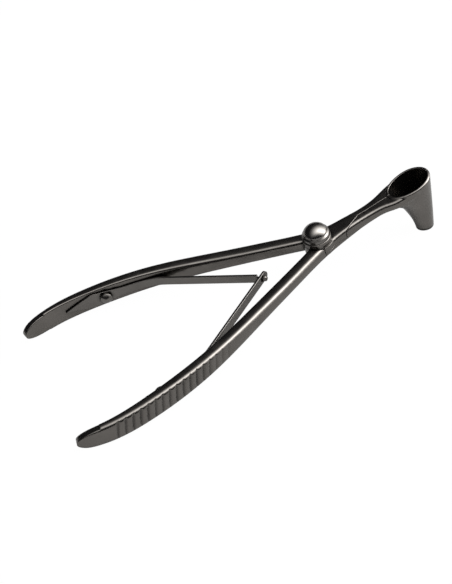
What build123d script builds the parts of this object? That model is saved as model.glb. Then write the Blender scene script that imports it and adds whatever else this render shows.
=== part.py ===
from build123d import *
from math import acos, atan2, cos, degrees, radians, sin, sqrt, tan
import os

# Two-lever nasal speculum with a half-lap pivot, a split funnel blade and a pair of leaf springs.
# The origin is on the pivot axis, at the flat underside of the joint. +X points to the blade,
# +Y to the side of the upper lever, whose lap lies on top, and +Z through the screw's head.
# Lengths are in millimetres, angles in degrees.

# Joint
joint_height = 4.8
joint_radius = 5.1
joint_round = 0.8
lap_margin = 0.5
boss_height = 1.85
boss_inset = 0.1
boss_edge = 0.15
lap_clearance = 0.05
shoulder_clearance = 0.15
lap_reach = 16.2
lap_nose_angle = 25.5
seam_clearance = 0.06

# Pivot screw
shank_radius = 1.6
shank_clearance = 0.05
thread_radius = 1.3
thread_clearance = 0.02
head_radius = 4.7
head_rim_height = 1.25
head_bevel = 0.55
head_dome_height = 2.75
head_shoulder_share = 0.5
head_seat_clearance = 0.05

# Handles: a straight, a long bow and a tighter end
handle_offset = 2.75
handle_angle = 22.5
straight_length = 45.5
bow_radius = 140.0
bow_sweep = 17.0
end_radius = 50.0
end_sweep = 24.0
joint_thickness = 4.75
grip_thickness = 3.2
end_thickness = 2.2
grip_height = 8.0
end_height = 7.0
grip_inset = 18.0
outer_shoulder = 1.4
joint_inner_shoulder = 1.1
grip_inner_shoulder = 0.35
end_round_length = 9.0

# Grooves across the outer face of each grip, steep on the joint's side
groove_count = 17
groove_pitch = 2.72
groove_steep_side = 0.6
groove_gentle_side = 1.2
groove_depth = 0.6
groove_lean = 17.5
groove_inset = 13.9
faint_groove_count = 6
faint_groove_share = 0.4

# Neck, from the joint to the funnel
neck_waist = 2.5
neck_shoulder = 1.2
neck_overlap = 1.0

# Funnel blade
rim_rear = 27.8
rim_front = 44.7
rim_half_width = 5.95
rim_rear_height = 7.4
rim_front_height = 9.9
rim_wall = 0.95
rim_round = 0.55
tip_rear = 36.0
tip_front = 42.4
tip_half_width = 2.9
tip_level = -14.0
tip_wall = 0.7
rear_flare = 1.6
gusset_reach = 3.3
gusset_start = 0.53
gusset_end = 0.82

# Leaf springs: each lies on the handle's inner face, lifts off in a bend and runs straight on
leaf_thickness = 0.8
leaf_seat = 0.1
leaf_half_height = 1.65
leaf_root_half_height = 3.1
leaf_root = 91.4
leaf_shoulder = 81.0
leaf_waist = 70.5
leaf_bend_radius = 26.0
upper_leaf_lift = 63.4
lower_leaf_lift = 61.3

# The leaves cross beside the middle plane: the upper one's tongue goes through the lower one's slot
crossing_x = -23.07
crossing_offset = 1.75
upper_leaf_past = 2.0
lower_leaf_past = 2.9
tongue_length = 3.4
tongue_half_height = 0.6
tongue_knob_radius = 1.0
slot_length = 2.2
slot_half_height = 0.8

# Spring screws
screw_station = 76.0
screw_shank_radius = 0.9
screw_clearance = 0.03
screw_seat_clearance = 0.05
screw_depth = 2.2
screw_head_radius = 2.1
screw_head_rim = 1.3
screw_head_bevel = 0.25
screw_head_height = 2.2

# Worked out from the sizes above
bow_length = radians(bow_sweep) * bow_radius
end_length = radians(end_sweep) * end_radius
handle_length = straight_length + bow_length + end_length
mid_height = joint_height / 2
lap_top = mid_height - lap_clearance / 2
lap_bottom = mid_height + lap_clearance / 2
rim_slope = degrees(atan2(rim_front_height - rim_rear_height, rim_front - rim_rear))


def ease(u):
    u = min(1.0, max(0.0, u))
    return u * u * (3 - 2 * u)


def mix(a, b, u):
    return a + (b - a) * u


def handle_path():
    along = Vector(-cos(radians(handle_angle)), sin(radians(handle_angle)))
    start = Vector(0, handle_offset)
    straight = Line(start, start + along * straight_length)
    bow = JernArc(straight @ 1, straight % 1, bow_radius, bow_sweep)
    tail = JernArc(bow @ 1, bow % 1, end_radius, end_sweep)
    return Wire([straight, bow, tail])


def handle_thickness(s):
    taper_start = 12.0
    taper_end = handle_length - grip_inset
    if s > taper_end:
        return mix(grip_thickness, end_thickness, (s - taper_end) / grip_inset)
    u = max(0.0, s - taper_start) / (taper_end - taper_start)
    return mix(joint_thickness, grip_thickness, u * u)


def handle_height(s):
    narrowing = (grip_height - end_height) * max(0.0, 1 - (handle_length - s) / grip_inset) ** 2
    return mix(joint_height, grip_height, ease((s - 14.0) / 66.0)) - narrowing


def inner_shoulder(s):
    return mix(joint_inner_shoulder, grip_inner_shoulder, ease((s - 35.0) / 50.0))


def path_plane(s):
    """Plane across the handle at length s, with X outwards and Y up."""
    point = centre_path.position_at(s, position_mode=PositionMode.LENGTH)
    along = centre_path.tangent_at(s, position_mode=PositionMode.LENGTH)
    return Plane(
        origin=(point.X, point.Y, mid_height),
        x_dir=(along.Y, -along.X, 0),
        z_dir=(-along.X, -along.Y, 0),
    )


def bar_section(plane, inner, outer, low, high, inner_radius, outer_radius):
    """Bar section with its own corner radius on the inner and on the outer side."""
    arcs = [
        CenterArc((outer - outer_radius, low + outer_radius), outer_radius, 270, 90),
        CenterArc((outer - outer_radius, high - outer_radius), outer_radius, 0, 90),
        CenterArc((inner + inner_radius, high - inner_radius), inner_radius, 90, 90),
        CenterArc((inner + inner_radius, low + inner_radius), inner_radius, 180, 90),
    ]
    sides = [Line(arcs[i - 1] @ 1, arcs[i] @ 0) for i in range(4)]
    return plane * make_face(arcs + sides)


def handle_section(s):
    half = handle_thickness(s) / 2
    tall = handle_height(s) / 2
    outer_radius = min(outer_shoulder, half * 1.4)
    return bar_section(path_plane(s), -half, half, -tall, tall, inner_shoulder(s), outer_radius)


def cross_plane(x):
    """Plane across the neck at x, with its X along +Y and its Y up."""
    return Plane(origin=(x, 0, 0), x_dir=(0, 1, 0), z_dir=(1, 0, 0))


def rim_height(x):
    return mix(rim_rear_height, rim_front_height, (x - rim_rear) / (rim_front - rim_rear))


def neck_sections():
    """Neck sections, given as x, half width, bottom, top and shoulder radius."""
    shape = [
        (7.0, neck_waist + 1.15, 0.4, 5.15, neck_shoulder),
        (11.0, neck_waist + 0.75, 1.05, 5.6, neck_shoulder),
        (15.5, neck_waist + 0.45, 1.85, 5.95, neck_shoulder),
        (21.0, neck_waist + 0.55, 2.8, 6.4, neck_shoulder),
        (25.0, neck_waist + 1.15, 3.5, 6.9, neck_shoulder),
        (28.0, neck_waist + 2.1, 3.8, 7.15, neck_shoulder),
        (31.0, rim_half_width - 0.8, 4.0, rim_height(31.0) - 0.25, 1.1),
        (34.0, rim_half_width - 0.5, 4.8, rim_height(34.0) - 0.3, 0.9),
        (36.5, rim_half_width - 0.45, 5.7, rim_height(36.5) - 0.3, 0.7),
    ]
    return [
        bar_section(cross_plane(x), -neck_overlap, half, low, high, 0.1, radius)
        for x, half, low, high, radius in shape
    ]


def side_bar():
    """Handle, joint side and neck of the upper lever in one run, a little over the middle plane."""
    stations = [handle_length, 101, 94, 84, 72, 58, 44, 30, 16, 4]
    return loft([handle_section(s) for s in stations] + neck_sections())


def side_of(gap):
    """Everything on the +Y side, from half the gap onwards."""
    return Pos(0, 100 + gap / 2, 0) * Box(400, 200, 100)


def blade_section(u, inset, reach, lift=0.0):
    """Outline of the funnel at share u of its height, 0 at the tip and 1 at the rim."""
    front = mix(tip_front, rim_front, u) - inset
    rear = mix(tip_rear, rim_rear, u**rear_flare) + inset - reach
    half = mix(tip_half_width, rim_half_width, u) - inset
    level = mix(tip_level, (rim_rear_height + rim_front_height) / 2, u) + lift
    belly = mix(tip_rear, rim_rear, u**rear_flare) * 0.46 + mix(tip_front, rim_front, u) * 0.54
    centre = mix(tip_rear, rim_rear, u) / 2 + mix(tip_front, rim_front, u) / 2
    plane = Plane(origin=(centre, 0, level)).rotated((0, -rim_slope * u, 0))
    arcs = [
        EllipticalCenterArc((belly - centre, 0), front - belly, half, 0, arc_size=90),
        EllipticalCenterArc((belly - centre, 0), belly - rear, half, 90, arc_size=90),
        EllipticalCenterArc((belly - centre, 0), belly - rear, half, 180, arc_size=90),
        EllipticalCenterArc((belly - centre, 0), front - belly, half, 270, arc_size=90),
    ]
    return plane * make_face(arcs)


def gusset(u):
    """How far the funnel's back reaches into the neck at share u of its height."""
    if u > gusset_end:
        return gusset_reach * (1 - ease((u - gusset_end) / (1 - gusset_end)))
    t = max(0.0, (u - gusset_start) / (gusset_end - gusset_start))
    return gusset_reach * t**3 * (2 - t)


def funnel_outside():
    levels = [0, 0.04, 0.1, 0.2, 0.3, 0.4, 0.48, 0.55, 0.61, 0.67, 0.73, 0.79, 0.85, 0.9, 0.95, 1]
    body = loft([blade_section(u, 0, gusset(u)) for u in levels])
    return fillet(body.faces().sort_by(Axis.Z)[-1].edges(), rim_round)


def funnel_inside():
    sections = [blade_section(0, tip_wall, 0, -2)]
    sections += [blade_section(u, mix(tip_wall, rim_wall, u), 0) for u in (0, 0.25, 0.5, 0.75, 1)]
    sections += [blade_section(1, rim_wall, 0, 2)]
    return loft(sections)


def lap_plan(grow):
    """Plan of the half lap: the joint's disc and a nose that points along the seam."""
    nose = radians(lap_nose_angle)
    tip = lap_reach + grow / sin(nose)
    side = joint_radius + 1.4
    corner = tip - side / tan(nose)
    outline = Polyline((tip, 0), (corner, side), (-grow, side), (-grow, -side), (corner, -side), close=True)
    return Circle(joint_radius + grow) + make_face(outline)


def lap_space(grow, low, high):
    return Pos(0, 0, low) * extrude(lap_plan(grow), high - low)


def end_cut():
    """What falls away round the tongue-shaped end of the handle."""
    at = path_plane(handle_length - end_round_length)
    side = Plane(origin=at.origin, x_dir=-at.z_dir, z_dir=at.x_dir)
    block = Pos(15, 0) * Rectangle(30, 30)
    return extrude(side * (block - Ellipse(end_round_length, handle_height(handle_length) / 2)), 8, both=True)


def groove(i):
    """Groove number i across the outer face, counted from the handle's end."""
    s = handle_length - groove_inset - i * groove_pitch
    fade = min(1.0, (groove_count - i) / faint_groove_count)
    depth = groove_depth * mix(faint_groove_share, 1, fade)
    at = path_plane(s)
    lean = radians(groove_lean)
    run = at.y_dir * cos(lean) + at.z_dir * sin(lean)
    face = Plane(origin=at.origin + at.x_dir * (handle_thickness(s) / 2), x_dir=at.x_dir, z_dir=run)
    flare = (1 + depth) / depth
    gentle, steep = (1, groove_gentle_side * flare), (1, -groove_steep_side * flare)
    return extrude(face * make_face(Polyline((-depth, 0), gentle, steep, close=True)), 7, both=True)


def inner_face_point(s, lift=0.0):
    at = path_plane(s)
    return at.origin - at.x_dir * (handle_thickness(s) / 2 + lift)


def leaf_line(lift_station, crossing_y, past):
    """Middle line of a leaf: along the inner face, a bend, and straight on past the crossing."""
    depth = leaf_thickness / 2 - leaf_seat
    count = 6
    stations = [mix(leaf_root, lift_station, i / count) for i in range(count + 1)]
    seated = Spline([inner_face_point(s, depth) for s in stations])
    lift, heading = seated @ 1, seated % 1
    centre = lift + Vector(heading.Y, -heading.X) * leaf_bend_radius
    away, back = Vector(crossing_x, crossing_y) - centre, lift - centre
    leave = atan2(away.Y, away.X) + acos(leaf_bend_radius / away.length)
    turn = degrees(atan2(back.Y, back.X) - leave)
    bend = JernArc(lift, heading, leaf_bend_radius, -turn)
    run = sqrt(away.length**2 - leaf_bend_radius**2) + past
    return Wire([seated, bend, Line(bend @ 1, bend @ 1 + (bend % 1) * run)])


def leaf_band(line):
    """Band of full height along the line, cut to the outline of its root."""
    start = line % 0
    across = Plane(origin=line @ 0, x_dir=(start.Y, -start.X, 0), z_dir=start)
    band = sweep(across * Rectangle(leaf_thickness, 2 * leaf_root_half_height), line)
    root, shoulder, waist = [inner_face_point(s).X for s in (leaf_root, leaf_shoulder, leaf_waist)]
    tall, low = leaf_root_half_height, leaf_half_height
    edge = [(root, 0), (shoulder, tall), (waist, low), (0, low), (0, -low), (waist, -low), (shoulder, -tall)]
    outline = Plane(origin=(0, 0, mid_height), x_dir=(1, 0, 0), z_dir=(0, -1, 0))
    return band & extrude(outline * make_face(Polyline(*edge, close=True)), 60, both=True)


def leaf_end_plane(line, inset):
    """Plane of a leaf's straight run, at a length before its end, with X along the leaf."""
    along = line % 1
    return Plane(origin=line @ 1 - along * inset, x_dir=along, z_dir=(along.Y, -along.X, 0))


def end_outline_cut(line, length, kept):
    """Cuts the last length of a leaf down to the kept outline."""
    block = Pos(length, 0) * Rectangle(2 * length, 12)
    return extrude(leaf_end_plane(line, length) * (block - kept), 2, both=True)


def upper_leaf():
    line = leaf_line(upper_leaf_lift, -crossing_offset, upper_leaf_past)
    neck_length = tongue_length - tongue_knob_radius
    kept = Pos(neck_length / 2, 0) * Rectangle(neck_length, 2 * tongue_half_height)
    kept += Pos(neck_length, 0) * Circle(tongue_knob_radius)
    return leaf_band(line) - end_outline_cut(line, tongue_length, kept)


def lower_leaf():
    """The lower leaf, still drawn on the +Y side."""
    line = leaf_line(lower_leaf_lift, crossing_offset, lower_leaf_past)
    end = leaf_band(line) - end_outline_cut(line, leaf_half_height, Circle(leaf_half_height))
    slot = leaf_end_plane(line, lower_leaf_past) * Rectangle(slot_length, 2 * slot_half_height)
    return end - extrude(slot, 2, both=True)


def spring_screw_plane():
    """Plane on the leaf's free face under the spring screw's head, with Z inwards."""
    at = path_plane(screw_station)
    face = inner_face_point(screw_station, leaf_thickness - leaf_seat)
    return Plane(origin=face, x_dir=(0, 0, 1), z_dir=-at.x_dir)


def domed_head(radius, rim, bevel, height):
    """Head with a straight rim, a bevel, a rounded shoulder and a flatter crown."""
    edge = radius - bevel
    base = rim + bevel
    rise = height - base
    shoulder = rise * head_shoulder_share
    ball = ((edge - shoulder) ** 2 + rise**2 - shoulder**2) / (2 * (rise - shoulder))
    join = degrees(atan2(ball - rise, edge - shoulder))
    corners = [(0, height), (0, 0), (radius, 0), (radius, rim), (edge, base)]
    arcs = [
        CenterArc((edge - shoulder, base), shoulder, 0, join),
        CenterArc((0, height - ball), ball, join, 90 - join),
    ]
    return revolve(Plane.XZ * make_face([Polyline(*corners)] + arcs), Axis.Z)


def rod(radius, low, high):
    return Pos(0, 0, (low + high) / 2) * Cylinder(radius, high - low)


def spring_screw():
    reach = leaf_thickness - leaf_seat + screw_depth
    head = domed_head(screw_head_radius, screw_head_rim, screw_head_bevel, screw_head_height)
    shank = rod(screw_shank_radius, -reach - screw_seat_clearance, 0.1)
    return spring_screw_plane() * Pos(0, 0, screw_seat_clearance) * (head + shank)


def spring_screw_hole():
    reach = leaf_thickness - leaf_seat + screw_depth + screw_clearance
    return spring_screw_plane() * rod(screw_shank_radius + screw_clearance, -reach, 2)


def pivot_screw():
    seat = joint_height + boss_height + head_seat_clearance
    height = head_rim_height + head_bevel + head_dome_height
    head = Pos(0, 0, seat) * domed_head(head_radius, head_rim_height, head_bevel, height)
    return head + rod(shank_radius, lap_top, seat + 0.1) + rod(thread_radius, 0, lap_top + 0.1)


def shaped_side():
    """One side without its lap: handle, neck and half funnel."""
    side = (bar + funnel_outside()) & side_of(seam_clearance)
    side = side - funnel_inside() - end_cut() - spring_screw_hole()
    for i in range(groove_count):
        side -= groove(i)
    return side


def joint_blank():
    """Both bars and the joint's disc in one solid, from which the laps are taken."""
    half = bar & side_of(0)
    disc = rod(joint_radius + lap_margin, 0, joint_height)
    disc = chamfer(disc.faces().sort_by(Axis.Z)[0].edges(), joint_round + lap_margin)
    return half + mirror(half, about=Plane.XZ) + disc


def boss():
    ring = rod(joint_radius - boss_inset, mid_height, joint_height + boss_height)
    return chamfer(ring.faces().sort_by(Axis.Z)[-1].edges(), boss_edge)


def write(shape, node):
    export_step(shape, f"parts/{node}.step")


centre_path = handle_path()
bar = side_bar()
side = shaped_side()
blank = joint_blank()
upper_space = lap_space(shoulder_clearance, -20, lap_bottom)
lower_space = lap_space(shoulder_clearance, lap_top, 20)
upper_lap = blank & lap_space(0, lap_bottom, 20)
lower_lap = blank & lap_space(0, -20, lap_top)

upper_lever = side - upper_space + upper_lap + boss() - rod(shank_radius + shank_clearance, -1, 20)
lower_lever = mirror(side, about=Plane.XZ) - lower_space + lower_lap
lower_lever -= rod(thread_radius + thread_clearance, -1, 20)
upper_leaf_spring = upper_leaf() - side - spring_screw_hole()
lower_leaf_spring = lower_leaf() - side - spring_screw_hole()

os.makedirs("parts", exist_ok=True)
write(upper_lever, "upper_lever")
write(lower_lever, "lower_lever")
write(pivot_screw(), "pivot_screw")
write(upper_leaf_spring, "upper_leaf_spring")
write(mirror(lower_leaf_spring, about=Plane.XZ), "lower_leaf_spring")
write(spring_screw(), "upper_spring_screw")
write(mirror(spring_screw(), about=Plane.XZ), "lower_spring_screw")
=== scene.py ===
import math

import bmesh
import bpy
from mathutils import Matrix, Vector


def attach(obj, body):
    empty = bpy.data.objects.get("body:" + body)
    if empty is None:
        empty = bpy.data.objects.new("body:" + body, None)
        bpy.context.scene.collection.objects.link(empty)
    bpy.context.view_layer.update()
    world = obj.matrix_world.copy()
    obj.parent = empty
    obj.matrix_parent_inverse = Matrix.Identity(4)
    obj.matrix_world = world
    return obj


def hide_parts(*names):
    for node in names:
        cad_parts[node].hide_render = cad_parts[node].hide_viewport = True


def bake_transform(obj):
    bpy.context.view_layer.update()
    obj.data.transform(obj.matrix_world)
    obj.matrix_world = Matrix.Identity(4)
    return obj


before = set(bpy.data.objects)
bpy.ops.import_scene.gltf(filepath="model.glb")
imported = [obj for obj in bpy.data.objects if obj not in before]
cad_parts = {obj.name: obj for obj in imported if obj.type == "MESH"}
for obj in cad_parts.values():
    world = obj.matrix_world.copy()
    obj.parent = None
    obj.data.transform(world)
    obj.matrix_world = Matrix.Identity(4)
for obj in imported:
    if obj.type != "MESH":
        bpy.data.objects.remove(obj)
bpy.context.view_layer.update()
mm = 0.001


def linear(hexColour):
    # sRGB hex to the linear colour that the shaders take
    channels = [int(hexColour[i:i + 2], 16) / 255 for i in (1, 3, 5)]
    return [c / 12.92 if c <= 0.04045 else ((c + 0.055) / 1.055) ** 2.4 for c in channels] + [1.0]


def addNode(tree, kind, values=None, links=None, **settings):
    # adds one node with its settings, its socket values and what feeds its sockets
    node = tree.nodes.new(kind)
    for name, value in settings.items():
        setattr(node, name, value)
    for name, value in (values or {}).items():
        node.inputs[name].default_value = value
    for name, source in (links or {}).items():
        tree.links.new(source, node.inputs[name])
    return node


def mathNode(tree, operation, *sides):
    # each side is a number or another node's output
    step = addNode(tree, "ShaderNodeMath", operation=operation)
    for socket, side in zip(step.inputs, sides):
        if isinstance(side, (int, float)):
            socket.default_value = side
        else:
            tree.links.new(side, socket)
    return step.outputs[0]


def mixShaders(tree, share, first, second):
    # blends two shaders by a share from 0 to 1
    mixed = addNode(tree, "ShaderNodeMixShader")
    for socket, source in zip(mixed.inputs, (share, first, second)):
        tree.links.new(source, socket)
    return mixed.outputs[0]


def newMaterial(name):
    material = bpy.data.materials.new(name)
    material.use_nodes = True
    material.node_tree.nodes.clear()
    return material


# fitted to the photograph's outlines
camera = {
    "elevation": 44.78,   # degrees above the joint's plane
    "azimuth": -9.24,
    "roll": -21.41,
    "distance": 444.85,   # mm, along the view from the pivot
    "pixelsPerMm": 2.9306,
    "pivotPixel": (318.76, 244.19),
    "pivotHeight": 2.4,   # mm, the joint's mid plane
    "imageSize": (452, 584),
    "sensor": 36.0,
    "clip": (0.01, 20.0),   # m
}


def placeCamera():
    e, a, roll = (math.radians(camera[k]) for k in ("elevation", "azimuth", "roll"))
    back = Vector((math.sin(a) * math.cos(e), -math.cos(a) * math.cos(e), math.sin(e)))
    level = Vector((math.cos(a), math.sin(a), 0))
    rise = back.cross(level)
    right = level * math.cos(roll) + rise * math.sin(roll)
    up = rise * math.cos(roll) - level * math.sin(roll)
    wide, tall = camera["imageSize"]
    offsetX = (camera["pivotPixel"][0] - wide / 2) / camera["pixelsPerMm"]
    offsetY = (tall / 2 - camera["pivotPixel"][1]) / camera["pixelsPerMm"]
    pivot = Vector((0, 0, camera["pivotHeight"]))
    place = pivot + back * camera["distance"] - right * offsetX - up * offsetY
    data = bpy.data.cameras.new("camera")
    data.sensor_width = camera["sensor"]
    data.lens = camera["pixelsPerMm"] * camera["distance"] * camera["sensor"] / tall
    data.clip_start, data.clip_end = camera["clip"]
    shot = bpy.data.objects.new("camera", data)
    turn = Matrix((right, up, back)).transposed().to_4x4()
    shot.matrix_world = Matrix.Translation(place * mm) @ turn
    bpy.context.scene.collection.objects.link(shot)
    bpy.context.scene.camera = shot


placeCamera()
print("camera placed")


def mixColours(tree, share, first, second):
    # blends two hex colours by a share from 0 to 1
    blend = addNode(tree, "ShaderNodeMix", data_type="RGBA")
    tree.links.new(share, blend.inputs[0])
    blend.inputs[6].default_value = linear(first)
    blend.inputs[7].default_value = linear(second)
    return blend.outputs[2]


steel = {
    "lever": "#7a7672",
    "leverShade": "#64615d",
    "screw": "#7f7c78",
    "screwShade": "#6b6865",
    "leaf": "#7d7a76",
    "leafShade": "#686562",
    # painted shade: the dark colour that corners and grooves are darkened towards
    "paintedShade": "#1d1c1b",
    "leverRoughness": 0.23,
    "screwRoughness": 0.24,
    "leafRoughness": 0.24,
    "cloudedRoughness": (0.7, 1.3),   # buffing leaves it smoother and duller in places by these factors
    "leverGrain": (0.15, 1.0, 1.0),   # drawn out along the handles
    "screwGrain": (1.0, 1.0, 1.0),
    "leafGrain": (0.1, 0.1, 1.0),     # drawn out along the leaves
    "leverEdge": (0.7, 0.35),   # mm, how far an edge's soft highlight reaches: on the handles, on the neck
    "screwEdge": (0.12, 0.12),
    "leafEdge": (0.25, 0.25),
    "gripToNeck": (-14.0, -8.0),   # mm along X, where one changes to the other
    "edgeSamples": 16,
    "paintedShadeReach": 1.4,         # mm, how far a wall casts painted shade on the corner beside it
    "paintedShadeOpenness": (0.5, 0.93),   # from this openness, with the darkest painted shade, to this openness, with none
    "paintedShadeSamples": 8,
    "scratchSize": 0.4545,      # mm, far coarser than the real 0.01 mm grain, which wouldn't show
    "scratchDetail": 3.0,
    "scratchDepth": 0.02,       # mm
    "scratchStrength": 0.04,
    "cloudSize": 7.692,         # mm, about the width of a buffing pass
    "cloudDetail": 4.0,
}


def satinSteel(name, kind):
    # stainless steel, ground and buffed by hand: a fine grain, clouded reflections, highlights that run
    # along softened edges, and painted shade that darkens its corners and grooves
    colour, shade, roughness = steel[kind], steel[kind + "Shade"], steel[kind + "Roughness"]
    material = newMaterial(name)
    tree = material.node_tree
    place = addNode(tree, "ShaderNodeTexCoord").outputs["Object"]
    stretched = addNode(tree, "ShaderNodeMapping", {"Scale": steel[kind + "Grain"]}, {"Vector": place})
    scratchScale, cloudScale = 1 / (steel["scratchSize"] * mm), 1 / (steel["cloudSize"] * mm)
    scratches = addNode(tree, "ShaderNodeTexNoise",
                        {"Scale": scratchScale, "Detail": steel["scratchDetail"]},
                        {"Vector": stretched.outputs["Vector"]})
    clouds = addNode(tree, "ShaderNodeTexNoise",
                     {"Scale": cloudScale, "Detail": steel["cloudDetail"]}, {"Vector": place})
    tint = mixColours(tree, clouds.outputs["Fac"], colour, shade)
    # painted shade: an ambient-occlusion mask darkens the colour wherever nearby surfaces close in
    nearby = addNode(tree, "ShaderNodeAmbientOcclusion", {"Distance": steel["paintedShadeReach"] * mm},
                     samples=steel["paintedShadeSamples"])
    shutIn, inTheOpen = steel["paintedShadeOpenness"]
    unshadedShare = addNode(tree, "ShaderNodeMapRange", {"From Min": shutIn, "From Max": inTheOpen},
                   {"Value": nearby.outputs["AO"]})
    paintedShadeTint = addNode(tree, "ShaderNodeMix", data_type="RGBA")
    tree.links.new(unshadedShare.outputs["Result"], paintedShadeTint.inputs[0])
    paintedShadeTint.inputs[6].default_value = linear(steel["paintedShade"])
    tree.links.new(tint, paintedShadeTint.inputs[7])
    smoother, duller = steel["cloudedRoughness"]
    rough = addNode(tree, "ShaderNodeMapRange",
                    {"To Min": roughness * smoother, "To Max": roughness * duller},
                    {"Value": clouds.outputs["Fac"]})
    along = addNode(tree, "ShaderNodeSeparateXYZ", links={"Vector": place}).outputs["X"]
    gripEdge, neckEdge = steel[kind + "Edge"]
    gripEnd, neckStart = steel["gripToNeck"]
    reach = addNode(tree, "ShaderNodeMapRange",
                    {"From Min": gripEnd * mm, "From Max": neckStart * mm,
                     "To Min": gripEdge * mm, "To Max": neckEdge * mm}, {"Value": along})
    edges = addNode(tree, "ShaderNodeBevel", links={"Radius": reach.outputs["Result"]},
                    samples=steel["edgeSamples"])
    bump = addNode(tree, "ShaderNodeBump",
                   {"Strength": steel["scratchStrength"], "Distance": steel["scratchDepth"] * mm},
                   {"Height": scratches.outputs["Fac"], "Normal": edges.outputs["Normal"]})
    shader = addNode(tree, "ShaderNodeBsdfPrincipled", {"Metallic": 1.0},
                     {"Base Color": paintedShadeTint.outputs[2], "Roughness": rough.outputs["Result"],
                      "Normal": bump.outputs["Normal"]})
    addNode(tree, "ShaderNodeOutputMaterial", links={"Surface": shader.outputs["BSDF"]})
    return material


leverSteel = satinSteel("buffedStainlessSteel", "lever")
screwSteel = satinSteel("turnedScrewSteel", "screw")
leafSteel = satinSteel("rolledSpringSteel", "leaf")
print("materials made")

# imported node: piece name, body it rides on, material, slot
pieces = {
    "upper_lever": ("upperLever", "upper", leverSteel, "lever_steel"),
    "lower_lever": ("lowerLever", "lower", leverSteel, "lever_steel"),
    "pivot_screw": ("pivotScrew", "lower", screwSteel, "screw_steel"),
    "upper_leaf_spring": ("upperLeaf", None, leafSteel, "spring_steel"),
    "lower_leaf_spring": ("lowerLeaf", None, leafSteel, "spring_steel"),
    "upper_spring_screw": ("upperSpringScrew", "upper", screwSteel, "screw_steel"),
    "lower_spring_screw": ("lowerSpringScrew", "lower", screwSteel, "screw_steel"),
}
finish = {
    "mergeDistance": 0.0005,  # mm
    "creaseAngle": 28.0,      # degrees, sharper edges stay crisp
    "leafEdge": 1.2,          # mm, longest edge left on a leaf, so that it bends smoothly
    "leafCuts": 7,            # most rounds of cutting to get there
}


def finishedPiece(work, name):
    # smooth shading between the real edges
    limit = math.radians(finish["creaseAngle"])
    for edge in work.edges:
        edge.smooth = len(edge.link_faces) == 2 and edge.calc_face_angle() < limit
    for face in work.faces:
        face.smooth = True
    mesh = bpy.data.meshes.new(name)
    work.to_mesh(mesh)
    work.free()
    piece = bpy.data.objects.new(name, mesh)
    bpy.context.scene.collection.objects.link(piece)
    return piece


def smoothCopy(node, name):
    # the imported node's loose triangles joined up
    work = bmesh.new()
    work.from_mesh(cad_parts[node].data)
    bmesh.ops.remove_doubles(work, verts=work.verts, dist=finish["mergeDistance"] * mm)
    if "leaf" in node:
        for turn in range(finish["leafCuts"]):
            longEdges = [e for e in work.edges if e.calc_length() > finish["leafEdge"] * mm]
            if longEdges:
                bmesh.ops.subdivide_edges(work, edges=longEdges, cuts=1)
                bmesh.ops.triangulate(work, faces=work.faces)
    return finishedPiece(work, name)


springScrew = {
    # all in mm
    "Head Radius": 2.1,
    "Rim Height": 1.3,
    "Head Height": 2.2,
    "Edge Bevel": 0.25,
    "Shank Radius": 0.9,
    "Shank Length": 2.7,
}
springScrewMesh = {
    "headSides": 64,
    "domeRings": 9,
    "shankSides": 32,
    "shankDrop": 0.48,   # of its length, so that its top stays a little inside the head
}
springScrewPlaces = {   # middle of the head's underside, and the way that the head looks
    "upperSpringScrew": ((-71.71, 26.12, 2.4), (-0.174, -0.985, 0.0)),
    "lowerSpringScrew": ((-71.71, -26.12, 2.4), (-0.174, 0.985, 0.0)),
}


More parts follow.
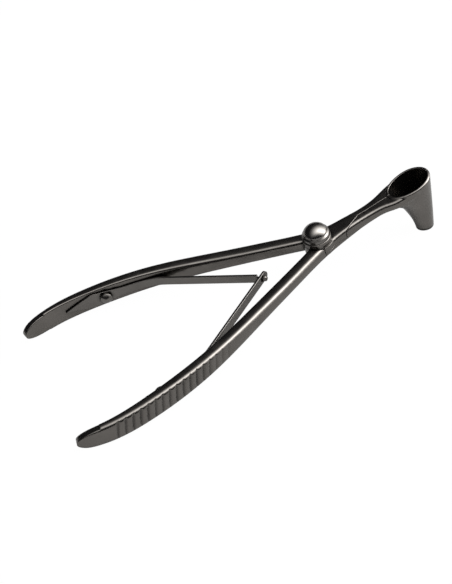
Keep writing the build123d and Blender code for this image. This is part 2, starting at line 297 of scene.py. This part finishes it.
def turnedScrewTree():
    # a cylinder whose top is raised to a low dome with a fallen edge, on a plain shank
    tree = bpy.data.node_groups.new("turnedScrew", "GeometryNodeTree")
    for name in springScrew:
        tree.interface.new_socket(name, in_out="INPUT", socket_type="NodeSocketFloat")
    tree.interface.new_socket("Steel", in_out="INPUT", socket_type="NodeSocketMaterial")
    tree.interface.new_socket("Screw", in_out="OUTPUT", socket_type="NodeSocketGeometry")
    sizes = addNode(tree, "NodeGroupInput").outputs
    head = addNode(tree, "GeometryNodeMeshCylinder",
                   {"Vertices": springScrewMesh["headSides"], "Fill Segments": springScrewMesh["domeRings"]},
                   {"Radius": sizes["Head Radius"], "Depth": sizes["Rim Height"]}, fill_type="TRIANGLE_FAN")
    spot = addNode(tree, "GeometryNodeInputPosition").outputs[0]
    spotParts = addNode(tree, "ShaderNodeSeparateXYZ", links={"Vector": spot}).outputs
    flatSpot = addNode(tree, "ShaderNodeCombineXYZ", links={"X": spotParts["X"], "Y": spotParts["Y"]})
    fromAxis = addNode(tree, "ShaderNodeVectorMath", links={"Vector": flatSpot.outputs[0]},
                       operation="LENGTH")
    crownRadius = mathNode(tree, "SUBTRACT", sizes["Head Radius"], sizes["Edge Bevel"])
    share = mathNode(tree, "DIVIDE", fromAxis.outputs["Value"], crownRadius)
    fall = mathNode(tree, "SUBTRACT", 1.0, mathNode(tree, "MULTIPLY", share, share))
    domeHeight = mathNode(tree, "SUBTRACT", sizes["Head Height"], sizes["Rim Height"])
    rise = addNode(tree, "ShaderNodeCombineXYZ", links={"Z": mathNode(tree, "MULTIPLY", domeHeight, fall)})
    domed = addNode(tree, "GeometryNodeSetPosition", links={
        "Geometry": head.outputs["Mesh"], "Selection": head.outputs["Top"], "Offset": rise.outputs[0]})
    halfRim = mathNode(tree, "MULTIPLY", sizes["Rim Height"], 0.5)
    headLift = addNode(tree, "ShaderNodeCombineXYZ", links={"Z": halfRim})
    seated = addNode(tree, "GeometryNodeTransform", links={
        "Geometry": domed.outputs["Geometry"], "Translation": headLift.outputs[0]})
    shank = addNode(tree, "GeometryNodeMeshCylinder", {"Vertices": springScrewMesh["shankSides"]},
                    {"Radius": sizes["Shank Radius"], "Depth": sizes["Shank Length"]})
    drop = mathNode(tree, "MULTIPLY", sizes["Shank Length"], -springScrewMesh["shankDrop"])
    shankDrop = addNode(tree, "ShaderNodeCombineXYZ", links={"Z": drop})
    hung = addNode(tree, "GeometryNodeTransform", links={
        "Geometry": shank.outputs["Mesh"], "Translation": shankDrop.outputs[0]})
    joined = addNode(tree, "GeometryNodeJoinGeometry")
    tree.links.new(seated.outputs["Geometry"], joined.inputs[0])
    tree.links.new(hung.outputs["Geometry"], joined.inputs[0])
    real = addNode(tree, "GeometryNodeRealizeInstances", links={"Geometry": joined.outputs[0]})
    coated = addNode(tree, "GeometryNodeSetMaterial", links={
        "Geometry": real.outputs[0], "Material": sizes["Steel"]})
    addNode(tree, "NodeGroupOutput", links={"Screw": coated.outputs[0]})
    return tree


screwTree = turnedScrewTree()


def turnedScrew(name):
    # the tree's result as a plain mesh, set on its leaf
    blank = bpy.data.objects.new("screwBlank", bpy.data.meshes.new("screwBlank"))
    bpy.context.scene.collection.objects.link(blank)
    turned = blank.modifiers.new("turned", "NODES")
    turned.node_group = screwTree
    for socket in screwTree.interface.items_tree:
        if socket.in_out == "INPUT":
            turned[socket.identifier] = springScrew.get(socket.name, screwSteel)
    shape = bpy.data.meshes.new_from_object(blank.evaluated_get(bpy.context.evaluated_depsgraph_get()))
    bpy.data.objects.remove(blank)
    seat, outward = (Vector(v) for v in springScrewPlaces[name])
    turn = outward.to_track_quat("Z", "Y").to_matrix().to_4x4()
    shape.transform(Matrix.Translation(seat * mm) @ turn @ Matrix.Scale(mm, 4))
    work = bmesh.new()
    work.from_mesh(shape)
    return finishedPiece(work, name)


def bendWithHandles(piece):
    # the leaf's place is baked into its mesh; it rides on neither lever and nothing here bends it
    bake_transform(piece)


for node, (name, body, material, slot) in pieces.items():
    piece = turnedScrew(name) if name in springScrewPlaces else smoothCopy(node, name)
    piece.data.materials.clear()
    piece.data.materials.append(material)
    if body:
        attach(piece, body)
    else:
        bendWithHandles(piece)
    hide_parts(node)
print("levers, screws and leaf springs dressed")

floor = {
    "colour": "#9a9a9a",
    "glowColour": "#ffffff",
    "size": 3.0,           # m
    "tipPoint": (39.4, 0.0, -14.0),    # mm, under the blade
    "gripPoint": (-96.0, 0.0, -1.6),   # mm, under the handle ends
    "shadowShare": 0.03,     # how much of its real shading the camera sees
    "mirroredShade": 0.85,   # how much of it the steel sees
    "glow": 1.02,            # the white that the camera sees
}


def makeFloor():
    # the instrument leans on its blade tip and on both handle ends
    tip, grip = Vector(floor["tipPoint"]) * mm, Vector(floor["gripPoint"]) * mm
    along = (tip - grip).normalized()
    across = Vector((0, 1, 0))
    half = floor["size"] / 2
    corners = [tip + along * half * i + across * half * j for i, j in ((-1, -1), (1, -1), (1, 1), (-1, 1))]
    mesh = bpy.data.meshes.new("floor")
    mesh.from_pydata(corners, [], [(0, 1, 2, 3)])
    ground = bpy.data.objects.new("floor", mesh)
    bpy.context.scene.collection.objects.link(ground)
    material = newMaterial("palePaperFloor")
    tree = material.node_tree
    ray = addNode(tree, "ShaderNodeLightPath").outputs
    mirrored = mathNode(tree, "MAXIMUM", ray["Is Glossy Ray"], ray["Is Transmission Ray"])
    plainView = mathNode(tree, "MULTIPLY", ray["Is Camera Ray"], 1 - floor["shadowShare"])
    mirroredView = mathNode(tree, "MULTIPLY", mirrored, 1 - floor["mirroredShade"])
    share = mathNode(tree, "MAXIMUM", plainView, mirroredView)
    paper = addNode(tree, "ShaderNodeBsdfDiffuse", {"Color": linear(floor["colour"])})
    glow = addNode(tree, "ShaderNodeEmission",
                   {"Color": linear(floor["glowColour"]), "Strength": floor["glow"]})
    mixed = mixShaders(tree, share, paper.outputs[0], glow.outputs[0])
    addNode(tree, "ShaderNodeOutputMaterial", links={"Surface": mixed})
    mesh.materials.append(material)


makeFloor()
print("floor laid")

studio = {
    "roomColour": "#2c2c2f",
    "glowColour": "#ffffff",
    "glowStrength": 9.5,
    "glowCentre": (0.75, -0.3),   # x and y of the light's direction: overhead, beside the blade
    "glowReach": 1.7,             # along x, how far it goes before it has faded out
    "glowBack": 1.06,             # the same towards +y, behind the object
    "glowFront": 0.55,            # and towards the camera, where it ends sooner
    "glowCore": 0.1,              # share of the reach that has the full strength
    "glowFade": 2.0,              # how steeply it fades from there
}


def makeWorld():
    # a dark room with one large soft light
    world = bpy.data.worlds.new("studio")
    bpy.context.scene.world = world
    world.use_nodes = True
    tree = world.node_tree
    tree.nodes.clear()
    direction = addNode(tree, "ShaderNodeTexCoord").outputs["Generated"]
    part = addNode(tree, "ShaderNodeSeparateXYZ", links={"Vector": direction})
    centreX, centreY = studio["glowCentre"]
    reach, back, front = studio["glowReach"], studio["glowBack"], studio["glowFront"]
    alongX = mathNode(tree, "MULTIPLY_ADD", part.outputs["X"], 1 / reach, -centreX / reach)
    behind = mathNode(tree, "MULTIPLY_ADD", part.outputs["Y"], 1 / back, -centreY / back)
    before = mathNode(tree, "MULTIPLY_ADD", part.outputs["Y"], -1 / front, centreY / front)
    alongY = mathNode(tree, "MAXIMUM", behind, before)
    place = addNode(tree, "ShaderNodeCombineXYZ", links={"X": alongX, "Y": alongY})
    away = addNode(tree, "ShaderNodeVectorMath", links={"Vector": place.outputs[0]}, operation="LENGTH")
    near = addNode(tree, "ShaderNodeMapRange", {"From Min": 1.0, "From Max": studio["glowCore"]},
                   {"Value": away.outputs["Value"]})
    share = mathNode(tree, "POWER", near.outputs["Result"], studio["glowFade"])
    room = addNode(tree, "ShaderNodeBackground", {"Color": linear(studio["roomColour"])})
    glow = addNode(tree, "ShaderNodeBackground",
                   {"Color": linear(studio["glowColour"]), "Strength": studio["glowStrength"]})
    mixed = mixShaders(tree, share, room.outputs[0], glow.outputs[0])
    addNode(tree, "ShaderNodeOutputWorld", links={"Surface": mixed})


makeWorld()
bpy.context.scene.view_settings.view_transform = "Standard"
print("studio lit")
